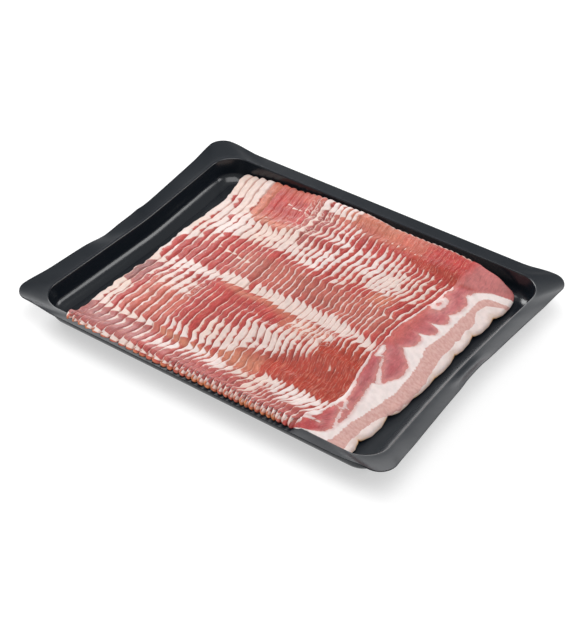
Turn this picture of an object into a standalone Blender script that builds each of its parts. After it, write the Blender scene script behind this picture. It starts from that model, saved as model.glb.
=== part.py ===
"""Bacon pack: a shallow thermoformed tray holding a long shingle of overlapping bacon slices.

Frame: X along the tray, Y across it, Z up, origin under the middle of the tray on the table.
The slices are laid from -X to +X, each one over the one before, so the last lies fully in view.
Dimensions are in millimetres and become metres where a mesh is made.
"""

import math
import random

import bmesh
import bpy

MM = 0.001

# Tray
TRAY_LENGTH = 330.0
TRAY_WIDTH = 254.0
SHEET = 0.8
WELL_HALF_X = 149.0
WELL_HALF_Y = 117.0
WELL_DEPTH = 19.2
WELL_CORNER = 20.0
WALL_DRAFT = 1.6
FOOT_RADIUS = 8.5
LIP_RADIUS = 1.4
RIM_CORNER = 13.0
# How far the rim's edge rises above the well's mouth
LONG_SIDE_RISE = 1.8
SHORT_SIDE_RISE = 3.0
TIP_RISE = 4.5
TIP_START = 15.0
TIP_REACH = 26.0
# How far the short sides bow inwards at the well's mouth and at the rim: (left, right)
WELL_BOW = (4.0, 3.0)
RIM_BOW = (9.0, 6.0)
BOW_SHARPNESS = 1.4

# Shingle
SLICE_COUNT = 37
SLICE_RUN = 38.0
SLICE_HEIGHT = 2.3
LAYER_STEP = 2.6
FIRST_EDGE = -117.0
PITCH = 5.016
EXTRA_SPREAD = 28.6
SPREAD_SLICES = 7.0
EDGE_SCATTER = 0.35
NEAR_END = -116.2
FAR_END = 112.0
END_CLEARANCE = 0.8
CLEARANCE = 0.3
CURL = 0.8

# The shingle's shape at places across the tray: (y, lean of the first slice's crest along X,
# lean of the last one's crest, lean of the last one's foot, rise off the floor, squeeze)
ACROSS = [
    (-116.2, 0.5, -13.0, -9.5, 1.6, 0.9),
    (-110.0, 0.0, -10.5, -9.5, 1.4, 0.94),
    (-96.0, -1.0, -3.0, -9.0, 0.6, 1.0),
    (-72.0, -2.0, 1.0, -7.0, 0.7, 1.0),
    (-30.0, 1.0, -2.5, -3.4, 1.0, 1.0),
    (20.0, 0.0, -2.0, -2.0, 1.2, 1.0),
    (60.0, 2.0, 2.0, 0.5, 0.9, 1.0),
    (90.0, -4.0, 0.0, 3.0, 0.9, 0.98),
    (112.0, -8.5, -2.0, 3.5, 1.6, 0.94),
]

# The near ends climb the wall, the first slices most, because they lie lowest
CLIMB = 8.0
CLIMB_START = -96.0
CLIMB_FULL_X = -125.0
CLIMB_NONE_X = 25.0

# Columns from a slice's crest to its foot, for the plain slices and for the last one
COLUMNS = [0.0, 0.07, 0.32, 0.64, 1.0]
TOP_COLUMNS = [0.0, 0.06, 0.25, 0.45, 0.65, 0.82, 0.94, 1.0]
LOBE_LENGTH = 26.5
LOBE_DEPTH = 2.6
LOBE_STEPS = 4
CREST_CORNER = 5.0
FOOT_CORNER = 15.0

FLOOR_TOP = SHEET
RIM_Z = FLOOR_TOP + WELL_DEPTH


def clear_scene():
    for obj in list(bpy.data.objects):
        bpy.data.objects.remove(obj)


def smooth(t):
    """Ease from 0 to 1."""
    t = min(max(t, 0.0), 1.0)
    return t * t * (3.0 - 2.0 * t)


def across(y):
    """The shingle's leans and rise at y."""
    for low, high in zip(ACROSS, ACROSS[1:]):
        if y <= high[0]:
            break
    share = min(max((y - low[0]) / (high[0] - low[0]), 0.0), 1.0)
    return [a + (b - a) * share for a, b in zip(low[1:], high[1:])]


def plastic(name, colour, roughness):
    material = bpy.data.materials.new(name)
    material.use_nodes = True
    shader = material.node_tree.nodes["Principled BSDF"]
    shader.inputs["Base Color"].default_value = (*colour, 1.0)
    shader.inputs["Roughness"].default_value = roughness
    shader.inputs["Metallic"].default_value = 0.0
    return material


def new_object(name, bm, material):
    mesh = bpy.data.meshes.new(name)
    bm.to_mesh(mesh)
    bm.free()
    mesh.materials.append(material)
    mesh.shade_smooth()
    mesh.set_sharp_from_angle(angle=math.radians(40.0))
    obj = bpy.data.objects.new(name, mesh)
    bpy.context.scene.collection.objects.link(obj)
    return obj


# ---------------------------------------------------------------- tray

CORNER_STEPS = 5
SHORT_STEPS = 10
LONG_STEPS = 8


def ring(half_x, half_y, radius, bow):
    """Points round a rounded rectangle whose short sides bow inwards, anticlockwise from +X.

    Every ring has its points in step. Along a side they are closer together near the corners."""
    flat_x, flat_y = half_x - radius, half_y - radius
    sides = [
        ((half_x, -flat_y), (half_x, flat_y), 0.0, SHORT_STEPS, bow[1]),
        ((flat_x, half_y), (-flat_x, half_y), 90.0, LONG_STEPS, 0.0),
        ((-half_x, flat_y), (-half_x, -flat_y), 180.0, SHORT_STEPS, -bow[0]),
        ((-flat_x, -half_y), (flat_x, -half_y), 270.0, LONG_STEPS, 0.0),
    ]
    points = []
    for (x0, y0), (x1, y1), facing, steps, inward in sides:
        for i in range(steps + 1):
            t = (1.0 - math.cos(math.pi * i / steps)) / 2
            bowed = inward * (1.0 - abs(2.0 * t - 1.0) ** BOW_SHARPNESS)
            points.append((x0 + (x1 - x0) * t - bowed, y0 + (y1 - y0) * t))
        centre_x = x1 - radius * math.cos(math.radians(facing))
        centre_y = y1 - radius * math.sin(math.radians(facing))
        for i in range(1, CORNER_STEPS):
            turn = math.radians(facing + 90.0 * i / CORNER_STEPS)
            points.append((centre_x + radius * math.cos(turn), centre_y + radius * math.sin(turn)))
    return points


def rim_rise(x, y):
    """How far the rim's edge stands above the well's mouth: most at the corner tips."""
    aside_x, aside_y = TRAY_LENGTH / 2 - abs(x), TRAY_WIDTH / 2 - abs(y)
    side = SHORT_SIDE_RISE if aside_x < aside_y else LONG_SIDE_RISE
    tip = smooth(1.0 - (math.hypot(aside_x, aside_y) - TIP_START) / TIP_REACH)
    return side + (TIP_RISE - side) * tip


def tray_rings():
    """The tray's upper surface as rings of (x, y, z), from the floor's edge out to the rim's edge."""
    foot_x, foot_y = WELL_HALF_X - WALL_DRAFT, WELL_HALF_Y - WALL_DRAFT
    profile = []
    foot_steps = 4
    for i in range(foot_steps + 1):
        turn = math.radians(90.0 * i / foot_steps)
        inset = FOOT_RADIUS * (1.0 - math.sin(turn))
        profile.append((foot_x - inset, foot_y - inset, FLOOR_TOP + FOOT_RADIUS * (1.0 - math.cos(turn))))
    lip_steps = 2
    for i in range(lip_steps + 1):
        turn = math.radians(90.0 * i / lip_steps)
        out = LIP_RADIUS * (1.0 - math.cos(turn))
        profile.append((WELL_HALF_X + out, WELL_HALF_Y + out, RIM_Z - LIP_RADIUS * (1.0 - math.sin(turn))))
    rings = []
    for half_x, half_y, z in profile:
        radius = WELL_CORNER - (WELL_HALF_X - half_x)
        rings.append([(x, y, z) for x, y in ring(half_x, half_y, radius, WELL_BOW)])
    inner = rings[-1]
    outer = ring(TRAY_LENGTH / 2, TRAY_WIDTH / 2, RIM_CORNER, RIM_BOW)
    for share in (0.5, 1.0):
        row = []
        for (x0, y0, z0), (x1, y1) in zip(inner, outer):
            z = z0 + rim_rise(x1, y1) * share ** 1.3
            row.append((x0 + (x1 - x0) * share, y0 + (y1 - y0) * share, z))
        rings.append(row)
    return rings


def make_tray(material):
    bm = bmesh.new()
    rows = [[bm.verts.new((x * MM, y * MM, z * MM)) for x, y, z in row] for row in tray_rings()]
    bm.faces.new(rows[0])
    for inner, outer in zip(rows, rows[1:]):
        for i in range(len(inner)):
            j = (i + 1) % len(inner)
            bm.faces.new((inner[i], outer[i], outer[j], inner[j]))
    tray = new_object("tray", bm, material)
    wall = tray.modifiers.new("wall", "SOLIDIFY")
    wall.thickness = SHEET * MM
    wall.offset = -1.0
    wall.use_even_offset = True
    return tray


# ---------------------------------------------------------------- slices

def edge_place(k):
    """Where slice k begins along X. The first slices are spread wider than the rest."""
    return FIRST_EDGE + PITCH * k + EXTRA_SPREAD * (1.0 - math.exp(-k / SPREAD_SLICES))


def crest_place(k, y):
    first, last, _, _, _ = across(y)
    return edge_place(k) + first + (last - first) * k / (SLICE_COUNT - 1)


def foot_place(k, y):
    first, _, last, _, _ = across(y)
    return edge_place(k) + SLICE_RUN + first + (last - first) * k / (SLICE_COUNT - 1)


def layers_below(x, y):
    """The number of slices whose foot lies short of x: the inverse of foot_place."""
    low, high = -8.0, SLICE_COUNT + 10.0
    for _ in range(40):
        middle = (low + high) / 2
        if foot_place(middle, y) < x:
            low = middle
        else:
            high = middle
    return low if low > 0.0 else low * CURL


def climb(x, y):
    """How far the near ends climb towards the rim."""
    if y > CLIMB_START:
        return 0.0
    share = (CLIMB_START - y) / (CLIMB_START - NEAR_END)
    return CLIMB * share * smooth((CLIMB_NONE_X - x) / (CLIMB_NONE_X - CLIMB_FULL_X))


def lie(k, x, y):
    """Height of slice k's underside. All slices follow one draped surface, one layer apart."""
    _, _, _, rise, squeeze = across(y)
    layers = k - layers_below(x, y)
    return FLOOR_TOP + CLEARANCE + rise + climb(x, y) + LAYER_STEP * squeeze * layers


def inner_half_y(z):
    """Half the well's width at height z."""
    up = z - FLOOR_TOP
    foot = WELL_HALF_Y - WALL_DRAFT
    if up < FOOT_RADIUS:
        return foot - FOOT_RADIUS + math.sqrt(FOOT_RADIUS ** 2 - (FOOT_RADIUS - max(up, 0.0)) ** 2)
    return foot + WALL_DRAFT * (up - FOOT_RADIUS) / (WELL_DEPTH - FOOT_RADIUS)


def kept_in(k, x, y):
    """Where a slice's point at y comes, and its height, once its ends are drawn in clear of the walls."""
    near_start, far_start = ACROSS[2][0], ACROSS[-2][0]
    place = y
    for _ in range(4):
        z = lie(k, x, place)
        limit = inner_half_y(min(z, RIM_Z)) - END_CLEARANCE
        if y < near_start:
            end = -min(limit, -NEAR_END)
            place = near_start + (y - near_start) * (end - near_start) / (NEAR_END - near_start)
        elif y > far_start:
            end = min(limit, FAR_END)
            place = far_start + (y - far_start) * (end - far_start) / (FAR_END - far_start)
    return place, z


def corner_cut(y, near_radius, far_radius):
    """How far a slice's rounded corners draw its edge in at y."""
    cut = 0.0
    for end, radius in ((NEAR_END, near_radius), (FAR_END, far_radius)):
        into = radius - abs(end - y)
        if into > 0.0:
            cut += radius - math.sqrt(max(radius ** 2 - into ** 2, 0.0))
    return cut * 0.8


def lobes(y):
    """The rind edge's scallops: round lobes with notches between them."""
    return LOBE_DEPTH * (abs(math.sin(math.pi * y / LOBE_LENGTH)) ** 0.6 - 1.0)


def slice_points(k, stations, columns, scallops, scatter):
    """The slice's underside as rows of (x, y, z), one row for each station."""
    rows = []
    for station in stations:
        crest = crest_place(k, station) + scatter + corner_cut(station, CREST_CORNER, CREST_CORNER)
        foot = foot_place(k, station) - corner_cut(station, CREST_CORNER, FOOT_CORNER)
        if scallops:
            foot += lobes(station)
        row = []
        for share in columns:
            x = crest + (foot - crest) * share
            y, z = kept_in(k, x, station)
            row.append((x, y, z))
        rows.append(row)
    return rows


def skin(bm, rows, lift):
    """Vertices over the slice's rows, raised by each row's own thickness."""
    height = SLICE_HEIGHT * lift
    return [[bm.verts.new((x * MM, y * MM, (z + height * across(y)[4]) * MM)) for x, y, z in row] for row in rows]


def make_slice(k, material, rng):
    last = k == SLICE_COUNT - 1
    columns = TOP_COLUMNS if last else COLUMNS
    stations = [place[0] for place in ACROSS]
    if last:
        lobe_step = LOBE_LENGTH / LOBE_STEPS
        inner = [lobe_step * i for i in range(-18, 18) if -108.0 < lobe_step * i < 103.0]
        stations = [NEAR_END, -112.5, *inner, 107.0, FAR_END]
    bottom = slice_points(k, stations, columns, last, rng.uniform(-EDGE_SCATTER, EDGE_SCATTER))
    bm = bmesh.new()
    under = skin(bm, bottom, 0.0)
    over = skin(bm, bottom, 1.0)
    end, foot = len(stations) - 1, len(columns) - 1
    for i in range(end):
        for j in range(foot):
            bm.faces.new((over[i][j], over[i][j + 1], over[i + 1][j + 1], over[i + 1][j]))
            bm.faces.new((under[i][j], under[i + 1][j], under[i + 1][j + 1], under[i][j + 1]))
        bm.faces.new((over[i][0], over[i + 1][0], under[i + 1][0], under[i][0]))
        bm.faces.new((over[i + 1][foot], over[i][foot], under[i][foot], under[i + 1][foot]))
    for j in range(foot):
        bm.faces.new((over[0][j + 1], over[0][j], under[0][j], under[0][j + 1]))
        bm.faces.new((over[end][j], over[end][j + 1], under[end][j + 1], under[end][j]))
    bmesh.ops.recalc_face_normals(bm, faces=bm.faces)
    return new_object(f"slice_{k + 1:02d}", bm, material)


def main():
    clear_scene()
    tray_plastic = plastic("black tray plastic", (0.012, 0.013, 0.014), 0.3)
    cured_pork = plastic("cured pork", (0.62, 0.24, 0.2), 0.4)
    make_tray(tray_plastic)
    rng = random.Random(11)
    for k in range(SLICE_COUNT):
        make_slice(k, cured_pork, rng)


main()
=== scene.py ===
"""A bacon pack: a shallow black thermoformed tray with a long shingle of streaky bacon slices.

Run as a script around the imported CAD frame. Lengths in the code are millimetres until a mesh is made.
"""
import math
from functools import partial
from types import SimpleNamespace

import bpy
import numpy as np
from bpy.props import FloatProperty, FloatVectorProperty, PointerProperty
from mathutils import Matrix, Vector


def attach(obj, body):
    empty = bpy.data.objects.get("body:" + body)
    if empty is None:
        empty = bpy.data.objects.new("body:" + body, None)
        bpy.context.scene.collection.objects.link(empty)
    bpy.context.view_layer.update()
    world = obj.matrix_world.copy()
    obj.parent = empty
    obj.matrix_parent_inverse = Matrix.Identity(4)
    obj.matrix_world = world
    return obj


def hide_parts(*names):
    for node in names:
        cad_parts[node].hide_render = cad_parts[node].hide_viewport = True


bl_info = {
    "name": "Bacon pack",
    "version": (1, 0, 0),
    "blender": (4, 5, 0),
    "location": "3D View > Sidebar > Bacon pack",
    "description": "A shallow black tray with a long shingle of streaky bacon slices",
    "category": "Add Mesh",
}

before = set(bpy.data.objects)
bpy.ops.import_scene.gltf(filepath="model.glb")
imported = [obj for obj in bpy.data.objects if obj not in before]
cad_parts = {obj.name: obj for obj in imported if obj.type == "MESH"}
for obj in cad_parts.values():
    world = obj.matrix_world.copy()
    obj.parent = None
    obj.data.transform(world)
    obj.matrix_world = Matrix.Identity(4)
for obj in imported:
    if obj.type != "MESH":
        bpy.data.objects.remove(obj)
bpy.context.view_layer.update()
MM = 0.001
SLICE_NAMES = sorted(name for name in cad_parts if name.startswith("slice_"))


# ------------------------ small helpers

def hex_colour(text):
    """An sRGB hex colour as the linear values that the shaders take."""
    channels = [int(text[i:i + 2], 16) / 255.0 for i in (1, 3, 5)]
    return (*[c / 12.92 if c <= 0.04045 else ((c + 0.055) / 1.055) ** 2.4 for c in channels], 1.0)


def ease(t):
    """0 below nothing, 1 above one, and a smooth step between them."""
    t = np.clip(t, 0.0, 1.0)
    return t * t * (3.0 - 2.0 * t)


def lumps(x, y, seed):
    """Smooth noise from -1 to 1 over a plane, with one cell to a unit."""
    def corner(i, j):
        mix = np.sin(i * 127.1 + j * 311.7 + seed * 74.7) * 43758.5453
        return 2.0 * (mix - np.floor(mix)) - 1.0
    x, y = np.broadcast_arrays(np.asarray(x, float), np.asarray(y, float))
    xi, yi = np.floor(x), np.floor(y)
    u, v = ease(x - xi), ease(y - yi)
    low = corner(xi, yi) * (1 - u) + corner(xi + 1, yi) * u
    high = corner(xi, yi + 1) * (1 - u) + corner(xi + 1, yi + 1) * u
    return low * (1 - v) + high * v


def add_node(tree, kind, inputs=(), give=None, **settings):
    """Add one node with its settings, and its inputs by name or in order. Gives the node, or one output."""
    node = tree.nodes.new(kind)
    for name, value in settings.items():
        setattr(node, name, value)
    for name, value in inputs.items() if isinstance(inputs, dict) else enumerate(inputs):
        socket = node.inputs[name]
        if isinstance(value, bpy.types.NodeSocket):
            tree.links.new(value, socket)
        else:
            socket.default_value = value
    return node if give is None else node.outputs[give]


def in_mm(group):
    """A property group's lengths in millimetres."""
    lengths = [name for name in type(group).__annotations__ if group.bl_rna.properties[name].unit == "LENGTH"]
    return SimpleNamespace(**{name: getattr(group, name) / MM for name in lengths})


def new_piece(name, vertices, faces):
    """A mesh object at the origin from places in millimetres."""
    mesh = bpy.data.meshes.new(name)
    mesh.from_pydata((np.asarray(vertices) * MM).tolist(), [], faces)
    piece = bpy.data.objects.new(name, mesh)
    bpy.context.scene.collection.objects.link(piece)
    return piece


def give_attribute(piece, name, values):
    """Store one number or three for each point."""
    kind, field = ("FLOAT", "value") if np.ndim(values) == 1 else ("FLOAT_VECTOR", "vector")
    piece.data.attributes.new(name, kind, "POINT").data.foreach_set(field, np.ravel(values))


def settle(piece):
    """Turn a piece's modifiers into plain mesh."""
    graph = bpy.context.evaluated_depsgraph_get()
    mesh = bpy.data.meshes.new_from_object(piece.evaluated_get(graph), preserve_all_data_layers=True,
                                           depsgraph=graph)
    loose = piece.data
    piece.modifiers.clear()
    piece.data = mesh
    bpy.data.meshes.remove(loose)
    mesh.name = piece.name


# ------------------------ the shingle's lie

SLICE_COUNT = len(SLICE_NAMES)
# The tray's inside: its floor and rim, and its long walls' place at the top, draft and foot radius
FLOOR_TOP, RIM_Z = 0.8, 20.0
WELL_HALF, DRAFT, FOOT_RADIUS = 117.0, 1.6, 8.5
# The gap that the slices' ends keep to the walls
WALL_GAP = 0.8
# The first crest's place along X, the even step from crest to crest, and how much wider apart the first lie
FIRST_EDGE, PITCH = -117.0, 5.016
EXTRA_SPREAD, SPREAD_SLICES = 28.6, 7.0
# A slice runs this far from crest to foot, and each adds this much height where it lies on others
SLICE_RUN, LAYER_STEP = 38.0, 2.6
# The gap under the lowest slices, the height that crests are pressed down to, and how much of their rise the
# first crests keep, which lie on nothing
CLEARANCE, CEILING, CURL = 0.3, 24.4, 0.8
# The near ends: where a slice ends in the well, where its tongue over the rim ends, how much shorter the last
# tongues are, where they start to rise, where the rim starts and where they droop
NEAR_END, TONGUE_END, TONGUE_SHORTER = -116.2, -124.2, 1.0
NEAR_RISE, RIM_START, DROOP_START, NOSE_FALL = -107.0, -116.9, -118.4, 0.7
# Past these places across, the ends are drawn in to clear the walls
NEAR_DRAWN, FAR_DRAWN = -96.0, 90.0
# Where the far ends lie: (slice, y)
FAR_ENDS = [
    (0, 114), (8, 114.6), (14, 114), (18, 113), (22, 110.8), (30, 110.4), (34, 109.6), (36, 108.4),
]
# How far the slices' crests were laid off their even places along X: (slice, offset)
LAID_OFF = [
    (0, -1.7), (4, -4.5), (7, -3), (9, -3.6), (10, -4.7), (12, -5.1), (13, -3.1), (19, -3), (22, -0.5),
    (26, 0.4), (28, -0.7), (31, 0), (33, -0.6), (35, 1.1), (36, 0.8),
]

# Places across the tray: (y, lean of the first slice's crest along X, lean of the last one's crest,
# lean of the last one's foot, rise off the floor, squeeze)
ACROSS = np.array([
    (-116.2, 0.5, -13, -9.5, 1.6, 0.9),
    (-110, 0, -10.5, -9.5, 1.4, 0.94),
    (-96, -1, -3, -9, 0.6, 1),
    (-72, -2, 1, -7, 0.7, 1),
    (-30, 1, -2.5, -3.4, 1, 1),
    (20, 0, -2, -2, 1.2, 1),
    (60, 2, 2, 0.5, 0.9, 1),
    (90, -4, 0, 3, 0.9, 0.98),
    (112, -8.5, -2, 3.5, 1.6, 0.94),
])
# How the crests bend sideways: for places across, the bend of some of the slices
BEND_SLICES = [0, 2, 5, 8, 11, 14, 17, 20, 24, 28, 32, 36]
BENDS = [
    (-131, [3.5, 0, 0, 2, 6.5, 9, 10.5, 11.5, 12, 11, 9, 8]),
    (-121, [-1.5, -3, -1.5, 2, 6, 8, 9.5, 10.5, 10.5, 10, 8.5, 7]),
    (-112, [-2.2, -3, -1, 1.5, 4.5, 5.5, 6, 6, 6.5, 6, 4.5, 3]),
    (-106, [-2.4, -3.3, -0.8, 1.5, 4, 4.5, 4.5, 4.5, 4.5, 4, 1.8, 0.2]),
    (-97, [-2.5, -3.8, -0.8, 2, 5, 5.5, 5.5, 5.5, 5, 4, 1.5, -0.8]),
    (-90, [-2.5, -4, -2.2, -1, 2.2, 4.5, 5.3, 6, 6, 4.5, 2.2, 0.2]),
    (-80, [-2.5, -4.6, -2, -1.1, -1.4, -0.2, 2.6, 4.2, 4.4, 3.5, 1.8, 0.8]),
    (-65, [-2.5, -3, -2.7, -3, -2.7, -1.5, 0.4, 3.2, 2.4, 1.8, 0.8, 0.4]),
    (-50, [-2.5, -3.6, -3.1, -2.2, -2, -1, -0.6, -1.1, -1, -0.6, -0.8, -0.6]),
    (-20, [-2.2, -0.4, -0.4, -0.6, -0.7, 0.6, 1.4, 2.8, 1.8, -0.2, -2.6, -2.2]),
    (5, [-2.2, -0.4, 0.9, 0.3, 0.3, 0.3, 0.4, 0.2, 0.8, -0.2, -2.8, -3.2]),
    (28, [-2.5, -3.2, -1.1, -0.6, -0.5, -0.8, -2, -1, 0, 0.2, -3, -1]),
    (42, [-2.5, -2.2, -1.5, -2, -1, -2.4, -1.8, -1.6, -2, -0.9, -0.8, -0.3]),
    (60, [-0.5, -1.5, -1, -2.4, -2.8, -4.2, -4.6, -2.8, -0.6, 1.3, -2, -1]),
    (72, [0, -1.5, 0, 0.8, 1, 0, -1.5, -1, 0.4, 2.4, 0.2, 1.6]),
    (90, [0, -1.5, 0, 0.6, 0.6, 0, -0.7, -0.7, 0, 1.2, 0, 0]),
]
# The near ends climb, most at the left
CLIMB, CLIMB_START = 8.0, -96.0
CLIMB_FULL_X, CLIMB_NONE_X = -125.0, 25.0


def rounded_columns(table, spread):
    """The table's columns on a fine scale across the tray, with their corners rounded off."""
    y = np.arange(-130.0, 122.0, 0.5)
    kernel = np.exp(-0.5 * (np.arange(-3 * spread, 3 * spread + 0.5, 0.5) / spread) ** 2)
    kernel /= kernel.sum()
    pad = len(kernel) // 2
    return y, [np.convolve(np.pad(np.interp(y, table[:, 0], values), pad, mode="edge"), kernel, mode="valid")
               for values in table[:, 1:].T]


LIE_Y, LIE_COLUMNS = rounded_columns(ACROSS, 3.0)


def across(column, y):
    """A column of the table of places across, at y."""
    return np.interp(y, LIE_Y, LIE_COLUMNS[column])


def edge_place(k):
    """Slice k's even place along X."""
    return FIRST_EDGE + PITCH * k + EXTRA_SPREAD * (1.0 - np.exp(-k / SPREAD_SLICES))


def bend(k, y):
    """How far slice k's crest bends sideways at y. The table is for a level line: the first lie lower."""
    level = y - 2.5 - 10.0 * math.exp(-k / 4.0)
    rows = np.array([np.interp(k, BEND_SLICES, row) for _, row in BENDS])
    t = np.interp(level, [place for place, _ in BENDS], np.arange(len(BENDS)))
    low = np.minimum(t.astype(int), len(BENDS) - 2)
    return rows[low] + (rows[low + 1] - rows[low]) * ease(t - low)


def crest_place(k, y):
    """Where slice k's crest lies along X."""
    first, last = across(0, y), across(1, y)
    laid = np.interp(k, *zip(*LAID_OFF))
    even = edge_place(k) + first + (last - first) * k / (SLICE_COUNT - 1)
    return even + laid + bend(min(k, SLICE_COUNT - 1), y)


def foot_place(k, y):
    """Where slice k's foot, its covered side, lies along X."""
    first, last = across(0, y), across(2, y)
    return edge_place(k) + SLICE_RUN + first + (last - first) * k / (SLICE_COUNT - 1)


def layers_below(x, y):
    """The number of slices whose foot lies short of x: the inverse of foot_place."""
    low, high = np.full(x.shape, -8.0), np.full(x.shape, SLICE_COUNT + 10.0)
    for _ in range(26):
        middle = (low + high) / 2
        short = foot_place(middle, y) < x
        low, high = np.where(short, middle, low), np.where(short, high, middle)
    return np.where(low > 0.0, low, low * CURL)


def lie(k, x, y):
    """Height of slice k's underside."""
    share = np.clip((CLIMB_START - y) / (CLIMB_START - NEAR_END), 0.0, 1.0)
    climb = CLIMB * share * ease((CLIMB_NONE_X - x) / (CLIMB_NONE_X - CLIMB_FULL_X))
    sway = 0.35 * lumps(x / 17.0, y / 11.0, 41)
    return (FLOOR_TOP + CLEARANCE + across(3, y) + climb + sway
            + LAYER_STEP * across(4, y) * (k - layers_below(x, y)))


# ------------------------ tray

LengthProperty = partial(FloatProperty, unit="LENGTH")


class TraySizes(bpy.types.PropertyGroup):
    """Sizes and colour of the tray"""
    length: LengthProperty(name="Length", description="Length over the flange", default=0.32985)
    width: LengthProperty(name="Width", description="Width over the flange", default=0.2537)
    sheet: LengthProperty(name="Sheet", description="Thickness of the plastic sheet", default=0.0008)
    well_x: LengthProperty(name="Well half length", description="Half the well's length at its top",
                           default=0.149)
    well_y: LengthProperty(name="Well half width", description="Half the well's width at its top",
                           default=WELL_HALF * MM)
    corner: LengthProperty(name="Well corner", description="Corner radius of the well", default=0.02)
    draft: LengthProperty(name="Draft", description="How far the walls lean out", default=DRAFT * MM)
    foot: LengthProperty(name="Foot radius", description="Radius where the walls meet the floor",
                         default=FOOT_RADIUS * MM)
    lip: LengthProperty(name="Lip radius", description="Radius where the walls turn into the flange",
                        default=0.0012)
    rim_corner: LengthProperty(name="Flange corner", description="Corner radius of the flange", default=0.013)
    long_rise: LengthProperty(name="Long side rise",
                              description="Rise of the flange's edge on the long sides", default=0.0018)
    short_rise: LengthProperty(name="Short side rise",
                               description="Rise of the flange's edge on the short sides", default=0.003)
    tip_rise: LengthProperty(name="Tip rise", description="Rise of the flange's corners", default=0.0045)
    curl_rise: LengthProperty(name="Curl rise", description="Rise of the right side's curled edge",
                              default=0.0043)
    long_foot: FloatProperty(name="Long foot",
                             description="How much wider the floor's radius is at the short sides",
                             default=1.4)
    colour: FloatVectorProperty(name="Plastic", description="Colour of the plastic", subtype="COLOR", size=4,
                                default=hex_colour("#161b21"), min=0.0, max=1.0)


# The flange's corners rise within this far of its corner point
TIP_START, TIP_REACH = 15.0, 26.0
# Each short side's bow: depth on the left and on the right, where it peaks and how sharply
WELL_BOW, RIM_BOW = (4.0, 3.0), (9.5, 6.0)
BOW_PEAK, BOW_SHARPNESS = {-1: 0.465, 1: 0.5}, {-1: 1.08, 1: 1.35}


def tray_ring(half_x, half_y, radius, bow):
    """Points round a rounded rectangle whose short sides bow inwards, anticlockwise from +X."""
    short_steps, long_steps, corner_steps = 48, 56, 14
    flat_x, flat_y = half_x - radius, half_y - radius
    sides = [
        ((half_x, -flat_y), (half_x, flat_y), 0.0, short_steps, bow[1]),
        ((flat_x, half_y), (-flat_x, half_y), 90.0, long_steps, 0.0),
        ((-half_x, flat_y), (-half_x, -flat_y), 180.0, short_steps, -bow[0]),
        ((-flat_x, -half_y), (flat_x, -half_y), 270.0, long_steps, 0.0),
    ]
    points = []
    for (x0, y0), (x1, y1), facing, steps, inward in sides:
        for i in range(steps + 1):
            t = (1.0 - math.cos(math.pi * i / steps)) / 2
            hand = -1 if x0 < 0 and facing == 180.0 else 1
            peak = BOW_PEAK[hand]
            off = (peak - t) / peak if t < peak else (t - peak) / (1.0 - peak)
            bowed = inward * (1.0 - (off ** 2 + 0.004) ** (BOW_SHARPNESS[hand] / 2) / 1.002)
            points.append((x0 + (x1 - x0) * t - bowed, y0 + (y1 - y0) * t))
        centre_x = x1 - radius * math.cos(math.radians(facing))
        centre_y = y1 - radius * math.sin(math.radians(facing))
        for i in range(1, corner_steps):
            turn = math.radians(facing + 90.0 * i / corner_steps)
            points.append((centre_x + radius * math.cos(turn), centre_y + radius * math.sin(turn)))
    return np.array(points)


def rim_rise(x, y, sizes):
    """How far the flange's outer edge rises."""
    aside_x, aside_y = sizes.length / 2 - np.abs(x), sizes.width / 2 - np.abs(y)
    side = np.where(aside_x < aside_y, sizes.short_rise, sizes.long_rise)
    tip = ease(1.0 - (np.hypot(aside_x, aside_y) - TIP_START) / TIP_REACH)
    # the left side is kinked: pushed up past the middle, pressed flat nearer
    left = (x < 0.0) & (aside_x < aside_y)
    kink = 1.3 * np.exp(-((y - 7.0) / 7.0) ** 2) - 2.6 * np.exp(-((y + 30.0) / 13.0) ** 2)
    side = side + np.where(left, kink, 0.0)
    return side + (sizes.tip_rise - side) * tip


def edge_curl(x, y, sizes):
    """1 where the right side's edge is curled up."""
    return np.where(x > sizes.length / 2 - 14.0, ease((y + 22.0) / 9.0) * ease((20.0 - y) / 14.0), 0.0)


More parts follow.
